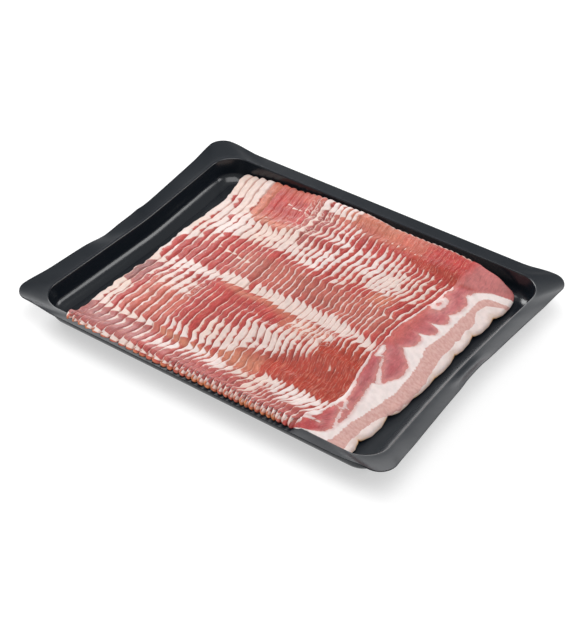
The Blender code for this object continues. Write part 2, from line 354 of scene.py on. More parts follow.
def make_tray(group):
    """The well's wall from the floor up, the flange round it, and one flat face for the floor."""
    sizes = in_mm(group)
    profile = []
    foot_x, foot_y = sizes.well_x - sizes.draft, sizes.well_y - sizes.draft
    for turn in np.radians(np.linspace(0.0, 90.0, 10)):
        inset = sizes.foot * (1.0 - math.sin(turn))
        up = FLOOR_TOP + sizes.foot * (1.0 - math.cos(turn))
        profile.append((foot_x - inset * group.long_foot, foot_y - inset, up))
    low, high = FLOOR_TOP + sizes.foot, RIM_Z - sizes.lip
    for share in (0.33, 0.66):
        out = sizes.draft * share
        profile.append((foot_x + out, foot_y + out, low + (high - low) * share))
    for turn in np.radians(np.linspace(0.0, 90.0, 5)):
        out = sizes.lip * (1.0 - math.cos(turn))
        profile.append((sizes.well_x + out, sizes.well_y + out, RIM_Z - sizes.lip * (1.0 - math.sin(turn))))
    rings = []
    for half_x, half_y, z in profile:
        ring = tray_ring(half_x, half_y, sizes.corner - (sizes.well_x - half_x), WELL_BOW)
        rings.append(np.column_stack([ring, np.full(len(ring), z)]))
    inner = rings[-1]
    outer = tray_ring(sizes.length / 2, sizes.width / 2, sizes.rim_corner, RIM_BOW)
    rise = rim_rise(outer[:, 0], outer[:, 1], sizes)
    curl = edge_curl(outer[:, 0], outer[:, 1], sizes)
    for share in (0.08, 0.2, 0.35, 0.5, 0.65, 0.8, 0.92, 1.0):
        plan = inner[:, :2] + (outer - inner[:, :2]) * share
        lift = rise * share ** 1.3 * (1.0 - curl) + curl * sizes.curl_rise * ease((share - 0.3) / 0.7) ** 1.5
        rings.append(np.column_stack([plan, inner[:, 2] + lift]))
    count = len(inner)
    vertices = np.concatenate(rings)
    # glossy up the drawn walls, fading out over the lip
    ring_gloss = [0.5] + [1.0] * (len(profile) - 3) + [0.6, 0.4, 0.2]
    ring_gloss += [0.0] * (len(rings) - len(ring_gloss))
    gloss = np.repeat(ring_gloss, count)
    faces = [tuple(range(count))]
    for ring in range(len(rings) - 1):
        base = ring * count
        for i in range(count):
            j = (i + 1) % count
            faces.append((base + i, base + count + i, base + count + j, base + j))
    tray = new_piece("tray_sheet", vertices, faces)
    give_attribute(tray, "gloss", gloss)
    wall = tray.modifiers.new("sheet", "SOLIDIFY")
    wall.thickness = sizes.sheet * MM
    wall.offset = -1.0
    wall.use_even_offset = True
    settle(tray)
    tray.data.shade_smooth()
    tray.data.set_sharp_from_angle(angle=math.radians(50.0))
    return tray


COORDS, STORED, MAPPING = "ShaderNodeTexCoord", "ShaderNodeAttribute", "ShaderNodeMapping"
NOISE, RANGE, MATH, MIX = "ShaderNodeTexNoise", "ShaderNodeMapRange", "ShaderNodeMath", "ShaderNodeMix"


def tray_material(colour):
    """Black polypropylene sheet, thermoformed: satin on the flange, glossy where the walls were drawn."""
    material = bpy.data.materials.new("black polypropylene sheet, thermoformed")
    material.use_nodes = True
    tree = material.node_tree
    shader = tree.nodes["Principled BSDF"]
    add = partial(add_node, tree)
    place = add(COORDS, give="Object")
    gloss = add(STORED, give="Fac", attribute_name="gloss")
    # a haze of cooling marks 25 mm across
    haze = add(NOISE, {"Vector": place, "Scale": 1.0 / (25.0 * MM), "Detail": 2.0}, "Fac")
    satin = add(RANGE, (haze, 0.0, 1.0, 0.3, 0.44), 0)
    shiny = add(RANGE, (haze, 0.0, 1.0, 0.17, 0.24), 0)
    rough = add(MIX, {"Factor": gloss, "A": satin, "B": shiny}, "Result", data_type="FLOAT")
    tree.links.new(rough, shader.inputs["Roughness"])
    shine = add(RANGE, (gloss, 0.0, 1.0, 0.27, 0.62), 0)
    tree.links.new(shine, shader.inputs["Specular IOR Level"])
    # the faint waviness of a drawn sheet, 11 mm from crest to crest
    wave = add(NOISE, {"Vector": place, "Scale": 1.0 / (11.111 * MM), "Detail": 1.0}, "Fac")
    bump = add("ShaderNodeBump", {"Height": wave, "Strength": 0.3, "Distance": 0.4 * MM}, "Normal")
    tree.links.new(bump, shader.inputs["Normal"])
    shader.inputs["Base Color"].default_value = colour
    shader.inputs["IOR"].default_value = 1.49
    return material


# ------------------------ marbling

LEANS = {
    "rose": "#a43936", "plain": "#a6564c", "deep": "#993323", "salmon": "#b05c4e", "mauve": "#965250",
    "purple": "#845250", "tan": "#b56f58",
}

# Fat cover at the slices' crests: first and last slice, low and high place across, the same at the last
# slice where they differ, softness in slices and across, cover in millimetres. Later rows lie over earlier
# ones. Where the cover is below nothing, no line of fat shows along the crest.
COVERS = [
    # the far left corner is nearly all fat, with slivers of lean
    (-1, 3.4, 0, 52, 0.6, 5, 4.4),
    (-1, 2.6, 48, 114, 52, 114, 0.8, 5, 7.5),
    (2.4, 4.2, 52, 96, 52, 74, 0.9, 5, 4.4),
    (0.5, 1.5, 54, 71, 0.4, 4, 2.4),
    (1.8, 2.4, 41, 48, 0.4, 3, 2),
    (-0.5, 0.5, 60, 72, 0.4, 4, 4),
    (1.6, 2.4, 11, 22, 0.4, 4, 1.6),
    (1.7, 2.6, -2, 10, 0.4, 3, 1.8),
    # the broad band at the left
    (3, 13.4, 24, 51, 31, 48, 0.4, 4, 4.4),
    (9.6, 12.6, 32, 56, 32, 57, 0.4, 4, 4.4),
    (12.6, 13.6, 31, 45, 31, 42, 0.4, 4, 4),
    (3, 9.5, -10, 20, -8, 24, 0.5, 3, 1.4),
    (2.6, 4.6, 6, 20, 0.4, 3, 2.4),
    (4.5, 10.5, 7.2, 8.6, 2.6, 4, 0.4, 0.6, 4.4),
    # the large bare patch of lean at the far side, with one seam
    (3.9, 9.8, 56, 114, 55, 114, 0.9, 3, -0.9),
    (2.3, 3.6, 80, 118, 0.4, 4, 7.5),
    (5.4, 6.6, 58, 61, 0.4, 1.5, 1.6), (7.6, 10, 59, 64, 0.5, 2, 1.4),
    (6.2, 10.2, 85, 86.2, 82, 83.2, 0.3, 0.5, 4.4),
    (9.8, 12.6, 60, 104, 0.8, 4, 0.9),
    (11.5, 12.5, 62, 95, 0.4, 4, 1.9),
    (12.7, 13.5, 44, 92, 0.3, 4, 0.9),
    (11.4, 17.8, 95, 114, 93, 114, 0.8, 4, 3.8),
    # rows of long fingers
    (13.6, 19.8, 70, 91, 68, 89, 0.4, 3, 1.9),
    (13.6, 23.4, 61, 69, 61, 68, 0.4, 2, 3.2),
    (13.6, 22, 56.5, 60, 56, 60, 0.4, 1.5, 1),
    (13.6, 19.6, 26, 54, 27, 54, 0.4, 5, 3.1),
    (13.6, 18.5, 26, 38, 28, 38, 0.4, 4, 3.5),
    (19.6, 24.6, 28, 60, 28, 62, 0.4, 4, 2.6),
    (23.6, 28.6, 60, 78, 60, 76, 0.4, 3, 2.6),
    (23.6, 31, 40, 64, 40, 62, 0.4, 4, 3.3),
    (25.2, 29.4, 30, 50, 32, 52, 0.5, 3, 4.2),
    (29.4, 34.5, 33, 62, 33, 60, 0.4, 4, 3),
    (28.6, 33.5, 61, 75, 61, 72, 0.4, 3, 1.3),
    (34.5, 37, 14, 66, 0.4, 4, 1.9),
    # the far edge on the right: bare lean with a row of ticks
    (17.2, 24.5, 94, 114, 80, 114, 1.2, 2.5, -0.9),
    (24.5, 37, 80, 114, 68, 114, 0.6, 2.5, -0.9),
    (22.6, 29, 86, 88.5, 85, 87.5, 0.4, 1, 1.6),
    (21.6, 23.6, 18, 24, 23, 26.5, 0.3, 1.5, 3),
    (19, 23.5, 28.5, 30.5, 25.5, 27.5, 0.3, 0.8, 2.4),
    (26, 34, 17, 19, 11.5, 13.5, 0.3, 0.9, 2.2),
    # the comb across the middle
    (-1, 1.6, -35, -26, -35, -27, 0.4, 4, 4.4),
    (1.6, 8.4, -33, -21, -30, -19, 0.4, 5, 4.4),
    (8.4, 12.6, -23.5, -13.5, 0.4, 5, 7),
    (12.6, 13.2, -36, -15, 0.2, 3, 2.2),
    (13.4, 18.4, -23.5, -13.5, 0.4, 5, 7),
    (18.4, 30.5, -25, -13, -26, -13, 0.4, 6, 7),
    (30.5, 35.6, -27, -14, -28, -17, 0.4, 4, 3.4),
    (16.5, 19.5, -12, -4, 0.5, 3, 1.6),
    (-1, 1.4, -26, -4, -30, -6, 0.4, 4, 2.2),
    (-1, 1.5, -66, -35, -65, -35, 0.3, 4, 0.8),
    # below it: mottled at the left, bare in the middle, fine lines at the right
    (1.6, 6.4, -52, -35, -40, -31, 0.4, 3, 2.3),
    (3.6, 7.4, -56, -40, -54, -39, 0.5, 4, 3.6),
    (9.4, 21.4, -40, -25, -42, -27, 0.5, 2.5, 0.25),
    (22, 28.6, -38, -26, -36, -26, 0.5, 3, 2.3),
    # the near left: lines that end in feet
    (-1, 1.5, -101, -66, 0.4, 4, 4.4),
    (1.6, 8, -93, -57, -93, -55, 0.5, 4, 1.6),
    (8, 12.8, -80, -38, -84, -38, 0.5, 4, 1.1),
    (8.4, 12.8, -95, -79, -95, -82, 0.4, 5, 2.5),
    (1.6, 7.6, -99.5, -94.5, 0.3, 1.6, 4.4),
    # the slanting comb
    (13, 18.5, -93, -66, -84, -62, 0.5, 6, 3.9),
    (17.5, 24.6, -80, -47, -66, -41, 0.4, 5, 3.9),
    (24.6, 29.4, -64, -38, -54, -34, 0.4, 5, 2.8),
    # the deep red patch
    (21, 29, -93, -82, -93, -58, 0.6, 4, -0.6),
    (29, 35.8, -91, -40, -87, -40, 0.4, 4, -0.8),
    (31.4, 32.6, -42, -27, 0.3, 3, 1.3),
    (32, 33, -63, -58, 0.3, 2, 1.8),
    # the nearest band and the near ends
    (23.4, 36, -103, -92, -104, -89, 0.5, 4, 4),
    (12.6, 23.4, -108, -97, -103, -98, 0.5, 2.5, 3.6),
    (8, 13, -100, -94, 0.5, 2, 0.5),
    (-1, 9.5, -123, -100.5, -123, -101.5, 0.5, 1.5, -0.4),
    (0.8, 7.6, -112, -102.5, -111, -102.5, 0.3, 3, 1.8),
    (7.4, 9.4, -118, -102, -114, -102, 0.4, 3, 2.3),
    (9.4, 15.6, -112, -103, -104, -98, 0.5, 3, 3.2),
    (15, 23, -118, -106, -118, -105, 0.5, 3, 0.5),
    (23.4, 25.4, -114, -102, 0.3, 3, 2.4),
    (25.4, 35, -116, -107, 0.5, 2, 0.6),
    (-1, 6.5, -131, -121, 0.4, 0.6, 0.3),
    (6.5, 33, -131, -119.6, -131, -118.5, 0.4, 0.6, 0.3),
    (-1, 8.5, -125, -123, -124.6, -122.6, 0.4, 0.3, 8),
    (6.5, 33, -123.4, -120.8, -122.6, -119.6, 0.4, 0.4, 8),
    (33, 37, -121.4, -117.2, 0.4, 1, 4.4),
]

# The lean's own colour: the same windows, with a colour's name and how much of it
TONES = [
    (4, 11.5, 52, 114, 1.5, 6, "salmon", 0.8),
    (3.6, 12, 50, 63, 50, 62, 1, 4, "tan", 0.8),
    (3, 4.5, 60, 114, 0.6, 5, "tan", 0.7),
    (4.4, 10.6, 64, 96, 62, 96, 0.9, 5, "rose", 1),
    (10.5, 14, 40, 100, 1, 5, "mauve", 0.7),
    (14, 29, 86, 114, 84, 114, 2, 4, "salmon", 1),
    (14, 24, 97, 114, 92, 114, 2, 4, "tan", 0.6),
    (29, 37, 84, 114, 78, 114, 2, 4, "rose", 0.8),
    (27, 37, 75, 86, 68, 82, 1.5, 5, "deep", 0.8),
    (8, 34, -10, 18, 2, 5, "plain", 1),
    (28, 32, 18, 32, 1, 5, "tan", 0.8),
    (9.5, 20.5, -31, -23, -31, -24, 0.6, 3, "tan", 0.8),
    (9.5, 12.9, -70, -30, 0.6, 6, "rose", 1),
    (13.5, 20.5, -66, -30, -50, -31, 0.8, 5, "rose", 0.7),
    (-1, 0.6, -66, -36, 0.3, 4, "purple", 1),
    (0.6, 1.9, -66, -36, -65, -35, 0.3, 4, "mauve", 1),
    (2.4, 8.5, -92, -44, -90, -42, 1, 8, "salmon", 0.8),
    (20.5, 29, -42, -26, 1, 3, "tan", 0.6),
    (31, 35, -44, -26, 0.8, 5, "deep", 0.9),
    (22, 30, -96, -64, -96, -50, 1.5, 8, "deep", 0.9),
    (28.4, 36.2, -95, -38, -95, -32, 0.8, 6, "deep", 1),
    (16.5, 22.5, -98, -78, -98, -76, 1.6, 6, "tan", 1),
    (8, 16, -101, -94, 1, 2, "tan", 1),
    (-1, 8, -122, -98, 1, 4, "mauve", 1),
    (10, 36, -120, -104, 1.5, 3, "mauve", 0.6),
]

# How strongly the lean is marbled with fat: the same windows
MARBLES = [
    (9.4, 13.8, 58, 106, 0.6, 5, 0.9),
    (13.8, 34, 58, 90, 58, 74, 1, 5, 0.5),
    (1.5, 8.4, -58, -30, -58, -32, 1, 5, 0.75),
    (18, 30, -80, -44, -44, -24, 1.5, 6, 0.7),
    (21, 29, -40, -25, 1, 3, 0.9),
    (22, 36, -94, -60, -94, -40, 1, 5, 0.3),
    (14, 36, 86, 114, 76, 114, 1.5, 4, 0.4),
    (12, 36, -107, -96, 1.5, 3, 0.7),
]


def window(k, t, first, last, low, high, *rest):
    """1 inside a patch of the shingle, with soft sides."""
    *at_last, soft_k, soft_t = rest
    if at_last:
        along = np.clip((k - first) / (last - first), 0.0, 1.0)
        low, high = (here + (there - here) * along for here, there in zip((low, high), at_last))
    soft_t = np.minimum(1.5 * soft_t, 0.8 * (high - low) + 0.5)
    inside = ease((k - first) / soft_k + 0.5) * ease((last - k) / soft_k + 0.5)
    return inside * ease((t - low) / soft_t + 0.5) * ease((high - t) / soft_t + 0.5)


def fat_cover(k, t, pitch):
    """How wide the fat at slice k's crest is at places t across, in millimetres."""
    stray = 1.4 * lumps(k * 0.3, t / 16.0, 3) + 1.2 * lumps(k * 0.9, t / 6.0, 4)
    stray = stray + 1.6 * lumps(k * 1.7, 0.5, 44)
    t = t + stray * ease((t + 118.0) / 12.0)
    cover = np.full(t.shape, 1.05)
    for *place, value in COVERS:
        share = window(k + 0.3 * lumps(k * 0.6, t / 9.0, 7), t, *place)
        cover += (value - cover) * share
    # seams of fat that run from slice to slice swell the lines where they cross them
    turn = t / 9.5 + 0.03 * k + 0.9 * lumps(k * 0.12, t / 22.0, 46)
    node = np.exp(-((turn - np.floor(turn) - 0.5) / 0.2) ** 2) * np.clip(cover, 0.0, 1.0)
    marbled = np.clip(marble_amount(k, t) - 0.3, 0.0, 0.6)
    marbled = marbled * np.clip(0.6 + lumps(k * 0.8, t / 12.0, 47), 0.0, 1.4)
    cover = cover * (0.95 + 0.2 * node) + 2.4 * marbled * node
    fingers = 0.3 * lumps(k * 0.5, t / 5.0, 5) + 0.3 * lumps(k * 1.7, t / 2.4, 6)
    # the first slices lie further apart, and their bands are wider with them
    wider = 1.0 + (pitch / PITCH - 1.0) * ease((cover - 0.9) / 2.0)
    return np.where(cover > 0.0, 0.98 * cover * (1.0 + fingers) * wider, cover)


def blended(colour, text, share):
    """Colours with a share of one more mixed into them."""
    return colour + (np.array(hex_colour(text)[:3]) - colour) * share[..., None]


def lean_colour(k, t):
    """The lean's colour in slice k at places t across."""
    colour = np.tile(np.array(hex_colour(LEANS["rose"])[:3]), (len(t), 1))
    t = t + 3.0 * lumps(k * 0.3, t / 12.0, 13)
    for *place, name, amount in TONES:
        *place, soft_t = place
        colour = blended(colour, LEANS[name], window(k, t, *place, 2.0 * soft_t) * amount)
    return colour * (1.0 + 0.12 * lumps(k * 0.5, t / 11.0, 8))[:, None]


def marble_amount(k, t):
    """How strongly slice k's lean is marbled at places t across."""
    amount = np.full(t.shape, 0.25)
    for *place, value in MARBLES:
        amount += (value - amount) * window(k, t, *place)
    return amount


# The last slice, which lies in full view. Its borders are given at places t across, which lean with its
# fall to the right: (t, x) of the outer sides of its lean, its main fat and its pale outer muscle.
FACE_START, FACE_LEAN = 91.0, 0.53
# Past this place along X it lies bare
OPEN_FACE = 94.0
# From slice to slice the marbling's patterns move on by this much
SLAB_STEP = 2.3
LEAN_BORDER = np.array([
    (-125, 80), (-118.5, 86), (-116, 96.5), (-114.5, 99.5), (-111.5, 102.5), (-108.8, 103), (-104.5, 104.5),
    (-101, 105), (-92.5, 105.7), (-85, 105.7), (-75, 104.8), (-62.5, 103.4), (-54.5, 102.3), (-52.5, 106.3),
    (-50, 108), (-45, 110.2), (-40, 112.8), (-34, 113.6), (-27.5, 112.4), (-22.5, 110.2), (-18, 105.8),
    (-14.4, 103.4), (-10, 100.5), (2, 106.6), (8.6, 101), (16.5, 110.2), (23.3, 102), (31, 110.8),
    (38, 107), (51, 111.6), (64, 106.6), (68.5, 109.4), (72.2, 109.6), (73.3, 111.6), (75.6, 115.2),
    (78.3, 118.5), (79.3, 125), (80, 140), (115, 150),
])
FAT_BORDER = np.array([
    (-125, 104), (-122.5, 105), (-118, 107.8), (-112.5, 108.6), (-105, 108.8), (-95, 110.2), (-87.5, 111.8),
    (-80, 112.6), (-70, 115), (-62.5, 115.9), (-55, 117.4), (-46, 117.4), (-37.5, 117), (-30, 116.2),
    (-22.5, 115.8), (-15, 114.4), (-7.5, 112.9), (-1.3, 111.6), (3.3, 111.8), (12, 113.6), (21, 114.8),
    (30, 114.8), (39, 114.8), (48, 115.1), (57, 115.1), (63, 115.2), (67, 116), (70.5, 118.5), (71.7, 123),
    (72.3, 140), (115, 150),
])
MUSCLE_BORDER = np.array([
    (-125, 118.6), (-122.5, 118.4), (-116, 117.9), (-110, 117.3), (-102.5, 118.2), (-95, 118.4),
    (-87.5, 119), (-80, 121.6), (-77.5, 123.1), (-70, 126), (-67.5, 126.8), (-62.5, 126.6), (-55, 127.7),
    (-50, 126.9), (-44, 128), (-39, 127.8), (-32.5, 127.2), (-26, 125.4), (-19, 124.4), (-10, 123.7),
    (-1.3, 122.6), (3.3, 123.6), (10, 123.6), (15.6, 122.6), (19, 124.3), (23, 123.9), (30, 122.4),
    (34, 124.1), (41, 123.5), (46.7, 121.4), (52, 119.6), (58, 119.6), (63.3, 121.1), (66, 126), (68, 131),
    (69, 145), (115, 150),
])
# Thin seams of fat in the last slice: points (x, t, half width)
SEAMS = [
    [(91.2, -16, 1.4), (92.6, -22, 2.2), (93, -27, 1.7), (95.4, -26, 0.5), (97.5, -30, 0.6),
     (100.4, -39, 0.8), (103.3, -46, 1.3), (105.5, -51, 2)],
    [(89.4, -32, 1.1), (90.8, -40, 0.9), (91.5, -47.5, 0.9), (92.4, -54, 1), (94, -59, 1.2),
     (94.9, -66, 1.7), (95.4, -72.5, 2.1), (95.5, -78, 2.4), (93.5, -84, 1.6), (92.1, -90, 1.6),
     (90.3, -95, 1.8)],
    [(96.5, -77, 1.6), (98.6, -79, 1.1), (100, -82, 1), (101, -88, 1), (101.9, -95, 0.8), (103.3, -100, 1),
     (104.8, -104, 1.6)],
    [(91.5, 47, 1.3), (95.5, 47.8, 1.1)],
    [(91, 41.5, 1), (96.5, 42, 0.9)],
    [(94.9, -85, 0.5), (101, -87.5, 0.4)],
    [(101, -84, 0.4), (103.4, -85.5, 0.2)],
    [(101.2, -89, 0.4), (103.8, -91, 0.2)],
    [(101.8, -93, 0.4), (104, -95, 0.2)],
    [(102.2, -97, 0.4), (104.2, -99, 0.2)],
    [(84, -98, 4), (89, -98, 4.2)],
    [(84, -104, 1.5), (91, -105, 1.2), (95.7, -105.5, 0.8)],
]
KNOT = (97.8, 46.0, 3.0, 5.8)
# The colours of the last slice's lean: hex, low and high t, low and high x, amount
FACE_TONES = [
    ("#b8706e", (74, 120), 97, 140, 0.9),
    ("#a56260", (86, 120), 118, 140, 0.5),
    ("#b9625e", (-12, 72), 88, 98, 0.8),
    ("#b9676a", (-12, 72), 98, 120, 0.9),
    ("#b46265", (-56, -12), 88, 120, 0.9),
    ("#a94f54", (-104, -30), 88, 108, 0.8),
    ("#ae474b", (-122, -86), 80, 104, 0.7),
]


def lobed(t, border):
    """A border at t whose corners are drawn out into round lobes with sharp notches between them."""
    i = np.clip(np.searchsorted(border[:, 0], t) - 1, 0, len(border) - 2)
    (t0, x0), (t1, x1) = border[i].reshape(-1, 2).T, border[i + 1].reshape(-1, 2).T
    u = np.clip((t.ravel() - t0) / (t1 - t0), 0.0, 1.0)
    round_u = np.where(x1 > x0, 1.0 - (1.0 - u) ** 3.2, u ** 3.2)
    u = np.where((t0 > -11.0) & (t1 < 65.0), 0.1 * u + 0.9 * round_u, u)
    return (x0 + (x1 - x0) * u).reshape(t.shape)


def seam_gap(x, t):
    """Distance to the nearest thin fat seam's edge in the last slice."""
    gap = np.full(x.shape, 99.0)
    for points in SEAMS:
        for (x0, t0, half0), (x1, t1, half1) in zip(points, points[1:]):
            run = (x1 - x0) ** 2 + (t1 - t0) ** 2
            along = np.clip(((x - x0) * (x1 - x0) + (t - t0) * (t1 - t0)) / run, 0.0, 1.0)
            half = half0 + (half1 - half0) * along
            gap = np.minimum(gap, np.hypot(x - x0 - along * (x1 - x0), t - t0 - along * (t1 - t0)) - half)
    knot_x, knot_t, wide, tall = KNOT
    ring = (np.hypot((x - knot_x) / wide, (t - knot_t) / tall) - 1.0) * wide
    return np.minimum(gap, np.abs(ring) - 1.4)


# ------------------------ slices

class SliceSizes(bpy.types.PropertyGroup):
    """Sizes of a slice"""
    thickness: LengthProperty(name="Thickness", description="Thickness of a slice", default=0.00215)
    crown: LengthProperty(name="Crown", description="How far a bare strip bulges", default=0.00012)
    lumpiness: LengthProperty(name="Lumpiness", description="Height of the fine lumps", default=0.00022)
    notches: FloatProperty(name="Rind notches", description="How deep the last rind's notches are",
                           default=1.0, min=0.0)


# The notches in the last slice's rind: (y, depth)
NOTCHES = [
    (-118, 2), (-91, 3.6), (-58, 4.2), (-31.5, 1.6), (-4.5, 1.2), (24, 2.2), (49, 3), (76, 3.2), (104, 2),
    (130, 1),
]


def rind(y):
    """How full the last slice's rind is, 1 between two notches, and how deep the notches are there."""
    places, depths = np.array(NOTCHES).T
    i = np.clip(np.searchsorted(places, y) - 1, 0, len(places) - 2)
    u = np.clip((y - places[i]) / (places[i + 1] - places[i]), 0.0, 1.0)
    full = np.sin(math.pi * u ** 0.85) ** 0.5 - 0.1 * np.abs(np.sin(3.0 * math.pi * u))
    return np.clip(full, 0.0, 1.0), depths[i] + (depths[i + 1] - depths[i]) * u


def roundness(distance, radius):
    """The height of a round edge, 0 at it and 1 from its radius inwards."""
    t = np.clip(1.0 - distance / radius, 0.0, 1.0)
    return np.sqrt(1.0 - t * t)


def nose_height(k):
    """How high a slice's near end lies over the rim."""
    return 21.5 + 2.5 * ease(k / 24.0)


def corner_cut(y, far_end, near_radius, far_radius):
    """How far a slice's side is drawn in by the round corners at its two ends."""
    cut = 0.0
    for end, radius in ((NEAR_END, near_radius), (far_end, far_radius)):
        into = np.clip(radius - np.abs(end - y), 0.0, radius)
        cut = cut + 0.8 * (radius - np.sqrt(radius ** 2 - into ** 2))
    return cut


def wall_place(z):
    """How far from the tray's middle a slice may reach at height z, clear of the long walls."""
    up = np.clip(z - FLOOR_TOP, 0.0, FOOT_RADIUS)
    at_foot = WELL_HALF - DRAFT - FOOT_RADIUS + np.sqrt(FOOT_RADIUS ** 2 - (FOOT_RADIUS - up) ** 2)
    share = (z - FLOOR_TOP - FOOT_RADIUS) / (RIM_Z - FLOOR_TOP - FOOT_RADIUS)
    return at_foot + DRAFT * np.clip(share, 0.0, 1.0) - WALL_GAP


def drawn_in(k, x, y, far_end, strip, over):
    """Slice k's places across, with its ends drawn in clear of the walls, or laid over the rim near by."""
    last = k == SLICE_COUNT - 1
    # the far ends are cut at a slant, so that they make a row of saw teeth
    slant = (0.9 + 1.1 * float(ease((13.0 - k) / 3.0))) * (0.9 + 0.7 * float(lumps(k * 1.9, 0.2, 51)))
    tongue = TONGUE_END + TONGUE_SHORTER * ease((k - 26.0) / 9.0)
    place = y
    for _ in range(6):
        z = lie(k, x, place)
        inner = wall_place(z)
        near = -np.minimum(inner, -NEAR_END)
        reach = ease((z - RIM_Z + 4.5) / 2.0) if last else 1.0
        near = near + (tongue - near) * reach * over
        far = np.minimum(inner, far_end) - (0.0 if last else slant) * np.clip(strip, 0.0, 1.3)
        near_share = (near - NEAR_DRAWN) / (NEAR_END - NEAR_DRAWN)
        place = np.where(y < NEAR_DRAWN, NEAR_DRAWN + (y - NEAR_DRAWN) * near_share, y)
        far_share = (far - FAR_DRAWN) / (far_end - FAR_DRAWN)
        place = np.where(y > FAR_DRAWN, FAR_DRAWN + (y - FAR_DRAWN) * far_share, place)
    return place


def last_face(values, x, y, across_d, from_foot, cover, lobes):
    """The marbling of the last slice, which lies in full view: lean, main fat, pale muscle and fat rind."""
    t = y - FACE_LEAN * (x - FACE_START)
    fuzz = 0.25 * lumps(x / 2.2, y / 2.2, 33) + 0.4 * lumps(x / 5.0, y / 4.0, 34)
    lean_edge = lobed(t, LEAN_BORDER) - x + fuzz
    muscle_in = x - np.interp(t, *FAT_BORDER.T) + fuzz
    muscle_out = np.interp(t, *MUSCLE_BORDER.T) - x + fuzz
    lean = np.minimum(np.minimum(lean_edge, seam_gap(x, t)), across_d - np.clip(cover, -1.0, 1.7))
    lean = np.where(lean > -3.0, lean * (1.0 - 0.3 * ease((x - OPEN_FACE) / 3.0)), lean)
    # the rind's fat turns cream to amber towards its edge, partly its own colour and partly painted shade
    # where the lobes turn down, and takes painted shade in the notches between the lobes
    rind_edge_and_shade = ease(1.0 - from_foot / 1.6) * (0.3 + 0.7 * (1.0 - lobes))
    painted_notch_shade = 0.05 + 0.3 * (1.0 - lobes) * ease(1.0 - from_foot / 6.0)
    tone = values["lean_colour"]
    for text, (low_t, high_t), low_x, high_x, amount in FACE_TONES:
        share = amount * ease((t - low_t) / 6.0 + 0.5) * ease((high_t - t) / 6.0 + 0.5)
        tone = blended(tone, text, share * ease((x - low_x) / 9.0 + 0.5) * ease((high_x - x) / 5.0 + 0.5))
    # paler where it meets the fat
    tone = blended(tone, "#cf9290", 0.55 * ease(1.0 - lean / 4.0) * ease((x - OPEN_FACE + 1.0) / 4.0))
    rind_tint_and_shade = np.maximum(0.85 * rind_edge_and_shade, painted_notch_shade)
    values.update({
        "lean_depth": lean, "lean_colour": tone, "muscle_depth": np.minimum(muscle_in, 2.6 * muscle_out),
        "fat_tint": np.where(muscle_out < 0.0, rind_tint_and_shade, values["fat_tint"] * 0.1),
        "groove": np.zeros_like(x), "streaks": np.where(x > OPEN_FACE, 0.0, 0.4),
        "marble": np.where(x > OPEN_FACE - 1.0, 0.12, values["marble"]),
    })


